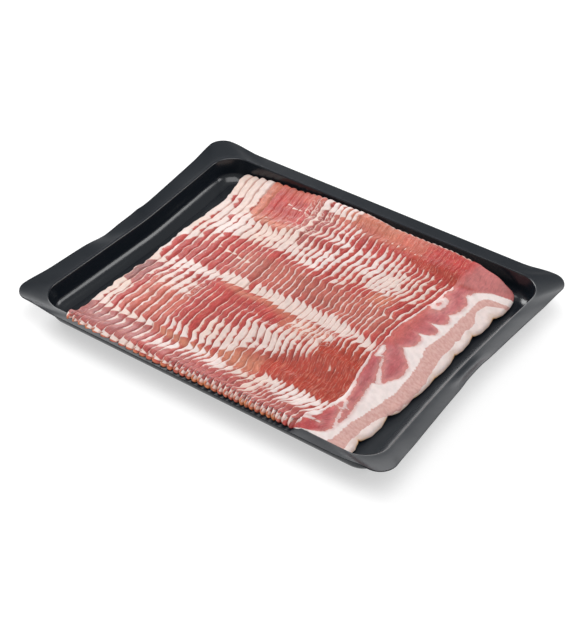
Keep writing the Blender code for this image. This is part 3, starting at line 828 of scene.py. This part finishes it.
def slice_grid(k, sizes):
    """Slice k's middle surface as a grid of places, with its half heights and the marbling's values."""
    last = k == SLICE_COUNT - 1
    far_end = float(np.interp(k, *zip(*FAR_ENDS)) + 0.4 * lumps(k * 1.1, 0.7, 48))
    # its outline from above, at stations from the near end to the far end
    ends = np.array([0.0, 0.12, 0.4, 0.9, 1.6])
    inside = np.arange(NEAR_END + 2.6, far_end - 2.4, 1.25 if last else 1.5)
    stations = np.concatenate([NEAR_END + ends, inside, far_end - ends[::-1]])
    wave = lumps(k * 0.15, stations / 9.5, 21) + 0.65 * lumps(k * 0.6, stations / 3.8, 22)
    crest = crest_place(k, stations) + wave + corner_cut(stations, far_end, 2.0, 4.0)
    ahead = crest_place(k + 1, stations) + wave
    foot = foot_place(k, stations) - corner_cut(stations, far_end, 4.0, 9.0 if last else 15.0)
    lobes, notch = rind(stations)
    if last:
        foot = foot + 2.3 - 1.8 * ease((stations - 5.0) / 40.0) + sizes.notches * notch * (lobes - 1.0)
        marks = [0.0, 0.25, 0.7, *np.linspace(1.3, 35.6, 38), 36.2, 36.7, 37.1, 37.5, 37.8, SLICE_RUN]
    else:
        marks = [0.0, 0.25, 0.6, 1.1, 1.7, 2.4, 3.2, 4.0, 4.8, 5.6, 6.6, 8.2, 11.0, 16.0, 24.0, 36.5, 37.5,
                 SLICE_RUN]
    run = (foot - crest)[:, None]
    across_d = run * (np.array(marks) / SLICE_RUN)
    from_foot = run - across_d
    x = crest[:, None] + across_d
    y = np.repeat(stations[:, None], len(marks), axis=1)
    # the bare strip runs from this crest (0) to the next one (1)
    strip = across_d / np.maximum(ahead - crest, 3.0)[:, None]
    bare = np.ones_like(strip) if last else ease((1.25 - strip) / 0.25)
    y = drawn_in(k, x, y, far_end, strip, bare * roundness(across_d, 1.8))
    from_near, from_far = (stations - NEAR_END)[:, None], (far_end - stations)[:, None]
    from_end = np.minimum(from_near * np.where(y < 0.0, 1.0, 9.9), from_far)
    z = lie(k, x, y)
    # the marbling runs level through the loin, so across the shingle it follows each crest's own height
    crest_y = y[:, 4]
    crest_z = z[:, 4] + 1.6
    if not last:
        crest_z = crest_z + (nose_height(k) - crest_z) * ease((NEAR_RISE - crest_y) / 9.0)
    level = crest_y - 0.98 * (24.5 - crest_z)
    cover = fat_cover(k, level, ahead - crest)[:, None]
    # where no fat stands up along the crests, they are thin and the slices lie close, one on the next
    close = ease(-cover / 0.6)
    thin = 0.3 - 0.16 * close
    height = sizes.thickness * across(4, y) * (thin + (1.0 - thin) * np.clip(across_d / 5.5, 0.0, 1.0))
    height = height + (0.22 + 0.15 * close) * ease((strip - 0.4) / 0.5)
    if last:
        crown = 1.3 * (lobes[:, None] - 0.4) * ease(1.0 - from_foot / 7.0) * ease(from_foot / 2.0)
    else:
        across_strip = np.clip(strip, 0.0, 1.0)
        crown = 4.0 * sizes.crown * ease(0.4 + cover) * across_strip * (1.0 - across_strip)
    top = z + height + crown
    top = top - 0.75 * np.maximum(top - CEILING + 0.8, 0.0)
    # the near end climbs to the rim, lies over it and droops to the flange
    rise = ease((NEAR_RISE - y) / 9.0) * bare
    nose = nose_height(k) - (0.35 + NOSE_FALL * ease((-118.0 - y) / 3.0)) * np.clip(strip, 0.0, 1.2)
    if last:
        nose = np.minimum(nose, top + 0.6)
    top = top + (nose - top) * rise
    low = z + (np.maximum(nose - 1.2, z) - z) * rise
    flange = np.minimum(RIM_Z + 0.2 + 0.8 * np.clip((-117.0 - y) / 8.0, 0.0, 1.0), top - 0.4)
    low = np.where(y < RIM_START, np.maximum(low, flange), low)
    low = low + (flange - low) * ease((DROOP_START - y) / 1.6)
    y = y - 0.9 * ease((DROOP_START - y) / 3.0) * bare * ease((top - 21.0) / 2.0)
    low = np.maximum(low, top - 0.35 - 0.9 * ease(across_d / 2.5) - 9.0 * (1.0 - rise))
    edges = roundness(across_d, 0.6) * roundness(from_foot, 2.6 if last else 1.3) * roundness(from_end, 1.4)
    middle = (top + low) / 2
    if last:
        # a low swell in the far corner
        middle = middle + 3.0 * ease((y - 92.0) / 18.0) * np.exp(-((x - 115.0) / 9.0) ** 2)
    # the marbling; a thread of fat runs round the far end, and the near end's rim was smoked
    even = np.ones_like(x)
    thread = from_end - 0.3 - 1.2 * ease((k - 10.0) / 4.0) + np.where(y < 0.0, 99.0, 0.0)
    smoke = ease((1.6 + 0.4 * ease((k - 11.0) / 3.0) - from_end) / 0.8) * ease((-120.0 - y) / 2.5)
    smoke = smoke * np.clip(0.75 + 0.9 * lumps(k * 0.45, 0.3, 45), 0.3, 1.0) * ease((35.0 - k) / 3.0)
    values = {
        "middle": np.stack([x, y, middle], axis=-1), "half": (top - low) / 2 * edges * MM,
        "slab": np.stack([k * SLAB_STEP * even, y, across_d], axis=-1) * MM,
        "lean_depth": np.minimum(across_d - cover, thread), "muscle_depth": -6.0 * even,
        "lean_colour": lean_colour(k, level)[:, None, :] * even[..., None],
        "marble": marble_amount(k, level)[:, None] * even,
        "streaks": (0.35 + 0.4 * ease((0.5 - cover) / 0.9)) * even,
        "fat_tint": np.clip(0.13 + 0.1 * lumps(x / 30.0, y / 18.0, 31), 0.0, 1.0), "smoke": smoke,
        # groove: the place across each bare strip, 0 at its crest and 1 at the next, which the material uses
        # for painted shade before the next crest
        "groove": np.clip(strip, 0.0, 1.0) * (1.0 - 0.5 * close),
    }
    if last:
        last_face(values, x, y, across_d, from_foot, cover, lobes[:, None])
    return values


def body_tree():
    """Geometry nodes that give a slice's middle surface its thickness and its fine lumps."""
    tree = bpy.data.node_groups.new("rasher body", "GeometryNodeTree")
    tree.is_modifier = True
    tree.interface.new_socket("Geometry", in_out="INPUT", socket_type="NodeSocketGeometry")
    lump = tree.interface.new_socket("Lump height", in_out="INPUT", socket_type="NodeSocketFloat")
    finish = tree.interface.new_socket("Finish", in_out="INPUT", socket_type="NodeSocketMaterial")
    tree.interface.new_socket("Geometry", in_out="OUTPUT", socket_type="NodeSocketGeometry")
    add = partial(add_node, tree)
    given = add("NodeGroupInput").outputs
    named = "GeometryNodeInputNamedAttribute"
    half = add(named, {"Name": "half"}, "Attribute", data_type="FLOAT")
    slab = add(named, {"Name": "slab"}, "Attribute", data_type="FLOAT_VECTOR")
    # lumps 4 mm across, which fade out where the slice thins to its edge
    noise = add(NOISE, {"Vector": slab, "Scale": 1.0 / (4.0 * MM), "Detail": 1.0}, "Fac")
    centred = add(MATH, (noise, 0.5), 0, operation="SUBTRACT")
    room = add(RANGE, (half, 0.0, 0.8 * MM), 0)
    lumpy = add(MATH, (centred, given["Lump height"]), 0, operation="MULTIPLY")
    up = add(MATH, (lumpy, room, half), 0, operation="MULTIPLY_ADD")
    down = add(MATH, (half, -1.0), 0, operation="MULTIPLY")
    faces = []
    for name, offset in (("top", up), ("underside", down)):
        along = add("ShaderNodeCombineXYZ", {"Z": offset}, 0)
        shape = {"Geometry": given["Geometry"], "Offset": along}
        faces.append(add("GeometryNodeSetPosition", shape, 0, label=name))
    turned = add("GeometryNodeFlipFaces", {"Mesh": faces[1]}, 0)
    joined = add("GeometryNodeJoinGeometry")
    tree.links.new(faces[0], joined.inputs[0])
    tree.links.new(turned, joined.inputs[0])
    whole = add("GeometryNodeMergeByDistance", {"Geometry": joined.outputs[0], "Distance": 0.001 * MM}, 0)
    smooth = add("GeometryNodeSetShadeSmooth", {"Geometry": whole}, 0)
    real = add("GeometryNodeRealizeInstances", {"Geometry": smooth}, 0)
    final = add("GeometryNodeSetMaterial", {"Geometry": real, "Material": given["Finish"]}, 0)
    add("NodeGroupOutput", (final,))
    return tree, lump.identifier, finish.identifier


def make_slice(k, group, tree, lump_socket, finish_socket, material):
    """Slice k as a closed mesh that carries its marbling's values."""
    sizes = in_mm(group)
    sizes.notches = group.notches
    values = slice_grid(k, sizes)
    rows, columns = values["half"].shape
    index = np.arange(rows * columns).reshape(rows, columns)
    faces = np.stack([index[:-1, :-1], index[:-1, 1:], index[1:, 1:], index[1:, :-1]], axis=-1)
    places = values.pop("middle").reshape(-1, 3)
    piece = new_piece(f"rasher_{k + 1:02d}", places, faces.reshape(-1, 4).tolist())
    for name, numbers in values.items():
        give_attribute(piece, name, numbers.reshape(rows * columns, *numbers.shape[2:]))
    body = piece.modifiers.new("body", "NODES")
    body.node_group = tree
    body[lump_socket] = group.lumpiness
    body[finish_socket] = material
    settle(piece)
    piece.data.attributes.remove(piece.data.attributes["half"])
    return piece


def pork_material():
    """Cured streaky pork, machine sliced: moist satin lean, waxy fat with a soft translucent edge."""
    material = bpy.data.materials.new("cured streaky pork, machine sliced")
    material.use_nodes = True
    tree = material.node_tree
    shader = tree.nodes["Principled BSDF"]
    add = partial(add_node, tree)
    times, plus, minus = {"operation": "MULTIPLY"}, {"operation": "MULTIPLY_ADD"}, {"operation": "SUBTRACT"}
    soft, blend = {"interpolation_type": "SMOOTHSTEP"}, {"data_type": "RGBA"}
    place = add(COORDS, give="Object")
    slab = add(STORED, give="Vector", attribute_name="slab")
    lean = add(STORED, give="Color", attribute_name="lean_colour")
    names = ("lean_depth", "muscle_depth", "fat_tint", "smoke", "groove", "marble", "streaks")
    depth, muscle, tint, smoke, groove, marble, streaky = (
        add(STORED, give="Fac", attribute_name=name) for name in names)
    # Patterns, each with its size in millimetres. In the slab the sizes run from slice to slice, along the
    # slice and across it. Fibres and grain are finer in real pork, and are drawn as coarse as shows.
    patterns = {}
    for name, follows, detail, size in (
            ("border lumps", slab, 1.0, (5.05, 3.03, 3.03)), ("border teeth", slab, 2.0, (1.0, 1.0, 1.0)),
            ("fat sheets", slab, 2.0, (33.333, 8.3333, 8.3333)),
            ("fat flecks", slab, 1.0, (2.5, 2.0833, 1.0417)),
            ("mottling", place, 3.0, (4.762, 4.762, 4.762)), ("fibres", slab, 2.0, (1.1111, 3.1746, 1.1111)),
            ("crest fibres", slab, 2.0, (1.0, 7.143, 1.0)),
            ("muscle teeth", place, 1.0, (5.556, 1.5873, 2.2222)),
            ("muscle mottling", place, 4.0, (3.497, 1.7483, 1.9231)), ("grain", place, 2.0, (0.7143,) * 3)):
        scaled = add(MAPPING, {"Vector": follows, "Scale": [1.0 / side for side in size]}, 0)
        patterns[name] = add(NOISE, {"Vector": scaled, "Scale": 1.0 / MM, "Detail": detail}, "Fac")
    # the lean's border wanders
    wander = add(MATH, (patterns["border teeth"], 1.3, depth), 0, **plus)
    wander = add(MATH, (patterns["border lumps"], 1.8, wander), 0, **plus)
    # seams of fat inside the lean, where the sheets' noise passes its middle, and flecks
    off_middle = add(MATH, (patterns["fat sheets"], 0.5), 0, **minus)
    ridge = add(MATH, (off_middle,), 0, operation="ABSOLUTE")
    seam = add(RANGE, (ridge, 0.006, 0.03, 1.0, 0.0), 0, **soft)
    seam = add(MATH, (seam, add(RANGE, (marble, 0.5, 0.9), 0, **soft)), 0, **times)
    fleck = add(RANGE, (patterns["fat flecks"], 0.66, 0.72), 0, **soft)
    marbling = add(MATH, (seam, add(MATH, (fleck, marble), 0, **times)), 0, operation="MAXIMUM")
    unmarbled = add(MATH, (1.0, marbling), 0, **minus)
    is_lean = add(MATH, (add(RANGE, (wander, 1.25, 1.8), 0, **soft), unmarbled), 0, **times)
    # lean: browner beside the fat, with fine streaks along each crest, where the fibres show edge on
    browner = add(RANGE, (depth, 0.1, 2.0, 0.28, 0.0), 0, **soft)
    lean = add(MIX, {"Factor": browner, "A": lean, "B": hex_colour(LEANS["tan"])}, "Result", **blend)
    streak = patterns["crest fibres"]
    share = add(MATH, (add(RANGE, (streak, 0.52, 0.74, 0.0, 0.6), 0, **soft), streaky), 0, **times)
    lean = add(MIX, {"Factor": share, "A": lean, "B": hex_colour("#c88a74")}, "Result", **blend)
    # painted shade in the grooves between the crests, where each next crest shades the strip, multiplied with
    # the lean's own mottling, fibres and streaks
    mottled = add(RANGE, (patterns["mottling"], 0.3, 0.7, 0.91, 1.09), 0, **soft)
    fibrous = add(RANGE, (patterns["fibres"], 0.3, 0.7, 0.92, 1.07), 0, **soft)
    painted_groove_shade = add(RANGE, (groove, 0.6, 0.95, 1.0, 0.78), 0, **soft)
    in_streak = add(RANGE, (streak, 0.28, 0.5, 0.82, 1.0), 0, **soft)
    shade = mottled
    for factor in (fibrous, painted_groove_shade, in_streak):
        shade = add(MATH, (shade, factor), 0, **times)
    lean = add("ShaderNodeVectorMath", {0: lean, "Scale": shade}, 0, operation="SCALE")
    # fat: pinkish white, cream to amber towards the last slice's rind edge and in its notches, partly the
    # rind's colour and partly painted shade; stained pink beside the lean
    ramp = add("ShaderNodeValToRGB", {"Fac": tint})
    stops = ramp.color_ramp.elements
    stops[0].color, stops[1].color = hex_colour("#dfd2cf"), hex_colour("#a8682f")
    for at, text in ((0.12, "#d2beb7"), (0.35, "#d6bcab"), (0.62, "#cda278")):
        stops.new(at).color = hex_colour(text)
    stain = add(RANGE, (depth, -1.8, 0.0, 0.0, 0.4), 0, **soft)
    fat = add(MIX, {"Factor": stain, "A": ramp.outputs["Color"], "B": lean}, "Result", **blend)
    shadow = add(RANGE, (groove, 0.7, 0.92, 0.0, 0.65), 0, **soft)
    fat = add(MIX, {"Factor": shadow, "A": fat, "B": hex_colour("#a87163")}, "Result", **blend)
    mottled = add(RANGE, (patterns["mottling"], 0.3, 0.7, 0.94, 1.05), 0, **soft)
    streaked = add(MATH, (streak, streaky), 0, **times)
    shade = add(MATH, (mottled, add(RANGE, (streaked, 0.0, 0.24, 1.05, 0.9), 0, **soft)), 0, **times)
    fat = add("ShaderNodeVectorMath", {0: fat, "Scale": shade}, 0, operation="SCALE")
    colour = add(MIX, {"Factor": is_lean, "A": fat, "B": lean}, "Result", **blend)
    # the pale outer muscle, with ragged comb-like sides
    paler = add(RANGE, (patterns["muscle mottling"], 0.25, 0.75), 0, **soft)
    pale = {"Factor": paler, "A": hex_colour("#c2918a"), "B": hex_colour("#d2aaa2")}
    pale = add(MIX, pale, "Result", **blend)
    ragged = add(MATH, (patterns["muscle teeth"], 2.8, muscle), 0, **plus)
    is_muscle = add(RANGE, (ragged, 1.1, 1.9), 0, **soft)
    colour = add(MIX, {"Factor": is_muscle, "A": colour, "B": pale}, "Result", **blend)
    # the smoked rim of the near ends
    browner = add(RANGE, (patterns["mottling"], 0.3, 0.7), 0, **soft)
    smoked = {"Factor": browner, "A": hex_colour("#9c4a2a"), "B": hex_colour("#c47c4c")}
    smoked = add(MIX, smoked, "Result", **blend)
    colour = add(MIX, {"Factor": smoke, "A": colour, "B": smoked}, "Result", **blend)
    tree.links.new(colour, shader.inputs["Base Color"])
    # the moist lean is a little glossier than the fat
    tree.links.new(add(RANGE, (is_lean, 0.0, 1.0, 0.5, 0.38), 0, **soft), shader.inputs["Roughness"])
    grain = {"Height": patterns["grain"], "Strength": 0.4, "Distance": 0.3 * MM}
    bump = add("ShaderNodeBump", grain, "Normal")
    tree.links.new(bump, shader.inputs["Normal"])
    for name, value in {"IOR": 1.4, "Subsurface Weight": 0.1, "Subsurface Radius": (1.0, 0.4, 0.25),
                        "Subsurface Scale": 1.0 * MM}.items():
        shader.inputs[name].default_value = value
    return material


# ------------------------ stage

class StageSettings(bpy.types.PropertyGroup):
    """The floor, the light all round and the camera"""
    floor_colour: FloatVectorProperty(name="Floor", description="Colour of the floor", subtype="COLOR",
                                      size=4, default=(0.5, 0.5, 0.5, 1.0), min=0.0, max=1.0)
    floor_glow: FloatProperty(name="Floor glow", description="Light that the lit paper floor gives off",
                              default=0.5)
    sky: FloatProperty(name="Sky", description="Brightness all round", default=0.33)
    azimuth: FloatProperty(name="Azimuth", description="Where the camera stands, round from the front",
                           subtype="ANGLE", default=math.radians(35.66))
    elevation: FloatProperty(name="Elevation", description="How far the camera looks down", subtype="ANGLE",
                             default=math.radians(39.65))
    distance: FloatProperty(name="Distance", description="From the camera to the point it looks at",
                            subtype="DISTANCE", default=1.2111)
    lens: FloatProperty(name="Lens", description="Focal length", subtype="DISTANCE_CAMERA", default=95.03)


# The point that the camera looks at
LOOK = (0.0154, -0.03095, 0.0245)
# Lamps: name, place, size in metres, power in watts
LAMPS = [
    ("key softbox", (-1.45, 0.3, 0.95), 1.0, 21.0),
    ("overhead softbox", (0.35, -0.25, 2.0), 1.9, 32.0),
    ("back softbox", (1.25, 1.2, 0.95), 0.8, 9.0),
    ("backdrop", (-1.4, 1.85, 0.66), 1.1, 14.0),
]


def aim(thing, place, target):
    """Stand a lamp or a camera at a place, looking at a target."""
    thing.location = place
    thing.rotation_euler = (Vector(target) - Vector(place)).to_track_quat("-Z", "Y").to_euler()


class BACON_OT_tray(bpy.types.Operator):
    """Make the thermoformed tray"""
    bl_idname = "bacon.tray"
    bl_label = "Make the tray"

    def execute(self, context):
        if "tray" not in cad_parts:
            raise RuntimeError("the frame has no tray")
        group = context.scene.bacon_tray
        tray = make_tray(group)
        tray.data.materials.append(tray_material(group.colour))
        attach(tray, "root")
        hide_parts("tray")
        return {"FINISHED"}


class BACON_OT_slices(bpy.types.Operator):
    """Make the shingle of slices"""
    bl_idname = "bacon.slices"
    bl_label = "Make the slices"

    def execute(self, context):
        if not SLICE_NAMES:
            raise RuntimeError("the frame has no slices")
        material = pork_material()
        tree, lump_socket, finish_socket = body_tree()
        for k, name in enumerate(SLICE_NAMES):
            piece = make_slice(k, context.scene.bacon_slices, tree, lump_socket, finish_socket, material)
            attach(piece, "root")
            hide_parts(name)
        return {"FINISHED"}


class BACON_OT_stage(bpy.types.Operator):
    """Make the floor, the lights and the camera"""
    bl_idname = "bacon.stage"
    bl_label = "Make the stage"

    def execute(self, context):
        scene, stage = context.scene, context.scene.bacon_stage
        side = 4000.0
        corners = [(-side, -side, 0.0), (side, -side, 0.0), (side, side, 0.0), (-side, side, 0.0)]
        floor = new_piece("floor", corners, [(0, 1, 2, 3)])
        paper = bpy.data.materials.new("matt white paper")
        paper.use_nodes = True
        white = (1.0, 1.0, 1.0, 1.0)
        finish = {"Base Color": stage.floor_colour, "Roughness": 0.9, "Emission Color": white,
                  "Emission Strength": stage.floor_glow}
        for name, value in finish.items():
            paper.node_tree.nodes["Principled BSDF"].inputs[name].default_value = value
        floor.data.materials.append(paper)
        scene.world = bpy.data.worlds.new("studio")
        scene.world.use_nodes = True
        sky = scene.world.node_tree.nodes["Background"].inputs
        sky["Color"].default_value = white
        sky["Strength"].default_value = stage.sky
        scene.view_settings.view_transform = "Standard"
        for name, place, size, power in LAMPS:
            light = bpy.data.lights.new(name, "AREA")
            light.energy = power
            light.size = size
            lamp = bpy.data.objects.new(name, light)
            scene.collection.objects.link(lamp)
            aim(lamp, place, (0.0, 0.0, 0.0))
        camera = bpy.data.cameras.new("camera")
        camera.lens = stage.lens
        camera.sensor_width = 36.0
        camera.clip_end = 20.0
        view = bpy.data.objects.new("camera", camera)
        scene.collection.objects.link(view)
        level = stage.distance * math.cos(stage.elevation)
        away = Vector((math.sin(stage.azimuth) * level, -math.cos(stage.azimuth) * level,
                       stage.distance * math.sin(stage.elevation)))
        aim(view, Vector(LOOK) + away, LOOK)
        scene.camera = view
        return {"FINISHED"}


class BACON_PT_panel(bpy.types.Panel):
    """The pack's sizes and colours, and buttons that make its parts"""
    bl_idname = "BACON_PT_panel"
    bl_label = "Bacon pack"
    bl_space_type = "VIEW_3D"
    bl_region_type = "UI"
    bl_category = "Bacon pack"

    def draw(self, context):
        for name, operator in zip(GROUPS, OPERATORS):
            group = getattr(context.scene, name)
            for value in type(group).__annotations__:
                self.layout.prop(group, value)
            self.layout.operator(operator.bl_idname)


GROUPS = {"bacon_tray": TraySizes, "bacon_slices": SliceSizes, "bacon_stage": StageSettings}
OPERATORS = (BACON_OT_tray, BACON_OT_slices, BACON_OT_stage)
CLASSES = (*GROUPS.values(), *OPERATORS, BACON_PT_panel)


def register():
    for cls in CLASSES:
        bpy.utils.register_class(cls)
    for name, group in GROUPS.items():
        setattr(bpy.types.Scene, name, PointerProperty(type=group))


def unregister():
    for name in GROUPS:
        delattr(bpy.types.Scene, name)
    for cls in reversed(CLASSES):
        bpy.utils.unregister_class(cls)


def main():
    register()
    bpy.ops.bacon.tray()
    bpy.ops.bacon.slices()
    bpy.ops.bacon.stage()


if __name__ == "__main__":
    main()
